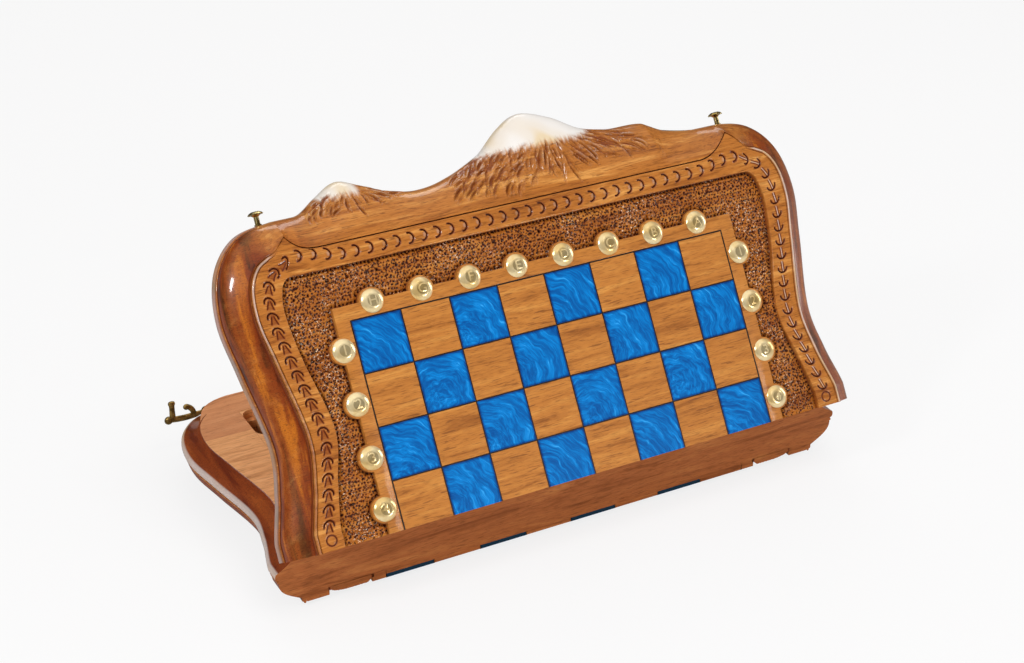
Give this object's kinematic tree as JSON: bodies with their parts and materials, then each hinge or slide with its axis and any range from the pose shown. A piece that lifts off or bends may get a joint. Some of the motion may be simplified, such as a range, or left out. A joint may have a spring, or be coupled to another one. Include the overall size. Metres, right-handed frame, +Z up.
{
  "type": "folding chess box",
  "caption": "Folding chess box with carved wooden trays, playing field outside, sliding drawers inside, hinges and hook latches.",
  "frame": {"origin": "centre of the bounding box in plan, on the surface the box stands on", "axes": "+X along the hinge, to the right as the picture shows the box; +Y from the hinge wall to the free edge of the lower tray; +Z up"},
  "size_m": [0.5994, 0.3824, 0.3533],
  "materials": {
    "varnished_walnut": "gloss",
    "deck_walnut": "matte",
    "blue_epoxy": "gloss",
    "black_line": "satin",
    "polished_brass": "polished",
    "latch_brass": "satin",
    "aged_brass": "aged"
  },
  "bodies": {
    "base": {"base_hinge_wall": "varnished_walnut", "base_left_rail": "varnished_walnut", "base_right_rail": "varnished_walnut", "base_front_rail": "varnished_walnut", "base_panel": "varnished_walnut", "base_blue_squares": "blue_epoxy", "base_line_inlay": "black_line", "base_studs": "polished_brass", "base_left_deck": "deck_walnut", "base_right_deck": "deck_walnut", "base_front_deck": "deck_walnut", "base_runners": "deck_walnut", "base_hinge_leaves": "aged_brass", "base_hinge_screws": "aged_brass", "hinge_pins": "aged_brass", "hook_screws": "aged_brass"},
    "lid": {"lid_hinge_wall": "varnished_walnut", "lid_left_rail": "varnished_walnut", "lid_right_rail": "varnished_walnut", "lid_front_rail": "varnished_walnut", "lid_panel": "varnished_walnut", "lid_blue_squares": "blue_epoxy", "lid_line_inlay": "black_line", "lid_studs": "polished_brass", "lid_left_deck": "deck_walnut", "lid_right_deck": "deck_walnut", "lid_front_deck": "deck_walnut", "lid_runners": "deck_walnut", "lid_hinge_leaves": "aged_brass", "lid_hinge_screws": "aged_brass", "latch_pins": "latch_brass"},
    "base_left_drawer": {"base_left_drawer": "deck_walnut"},
    "base_right_drawer": {"base_right_drawer": "deck_walnut"},
    "lid_left_drawer": {"lid_left_drawer": "deck_walnut"},
    "lid_right_drawer": {"lid_right_drawer": "deck_walnut"},
    "left_hook": {"left_hook": "aged_brass"},
    "right_hook": {"right_hook": "aged_brass"}
  },
  "joints": [
    {"name": "lid_hinge", "type": "hinge", "parent": "base", "child": "lid", "pos_m": [0, -0.14777, 0.0549], "axis": [1, 0, 0], "range_deg": [-57.15, 122.85]},
    {"name": "base_left_drawer_slide", "type": "slide", "parent": "base", "child": "base_left_drawer", "axis": [1, 0, 0], "range_m": [0, 0.04]},
    {"name": "base_right_drawer_slide", "type": "slide", "parent": "base", "child": "base_right_drawer", "axis": [-1, 0, 0], "range_m": [0, 0.04]},
    {"name": "lid_left_drawer_slide", "type": "slide", "parent": "lid", "child": "lid_left_drawer", "axis": [1, 0, 0], "range_m": [0, 0.04]},
    {"name": "lid_right_drawer_slide", "type": "slide", "parent": "lid", "child": "lid_right_drawer", "axis": [-1, 0, 0], "range_m": [0, 0.04]},
    {"name": "left_hook_pivot", "type": "hinge", "parent": "base", "child": "left_hook", "pos_m": [-0.252, 0.14473, 0.041], "axis": [0, 1, 0], "range_deg": [-60, 90]},
    {"name": "right_hook_pivot", "type": "hinge", "parent": "base", "child": "right_hook", "pos_m": [0.252, 0.14473, 0.041], "axis": [0, -1, 0], "range_deg": [-60, 90]}
  ]
}
